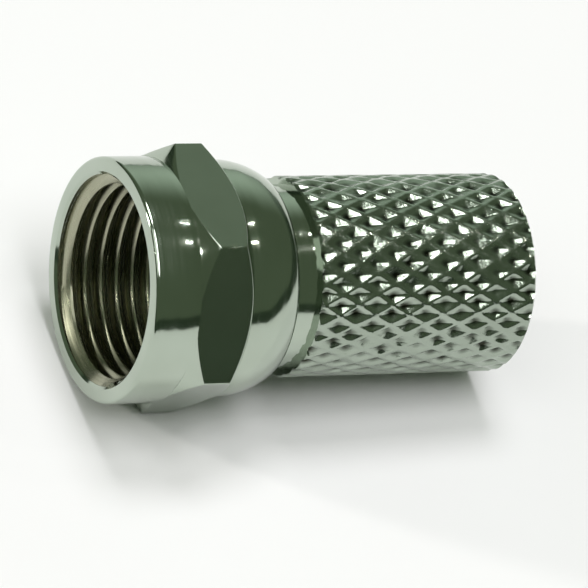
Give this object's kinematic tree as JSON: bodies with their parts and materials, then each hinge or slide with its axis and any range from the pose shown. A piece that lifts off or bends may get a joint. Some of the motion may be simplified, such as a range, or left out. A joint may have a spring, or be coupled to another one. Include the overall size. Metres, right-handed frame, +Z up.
{
  "type": "screw-on coaxial f connector",
  "caption": "Coaxial cable plug with a free-spinning hexagon coupling nut on a hollow body with a diamond-knurled sleeve that screws onto the cable.",
  "frame": {"origin": "middle of the footprint at the floor, under the plug as it lies at rest", "axes": "+Z up; +X along the plug's length, from the nut's mouth to the cable end, with the plug's own axis sloping down by the tilt it rests at; +Y across"},
  "size_m": [0.0204, 0.0128, 0.0113],
  "materials": {
    "nickel_plate": "bright nickel plate over turned brass"
  },
  "bodies": {
    "body": {"knurled_body": "nickel_plate"},
    "nut": {"coupling_nut": "nickel_plate"}
  },
  "joints": [
    {"name": "nut_spin", "type": "hinge", "parent": "body", "child": "nut", "pos_m": [-0.00279, 0, 0.00535], "axis": [0.9982, 0, -0.0595], "continuous": true}
  ]
}
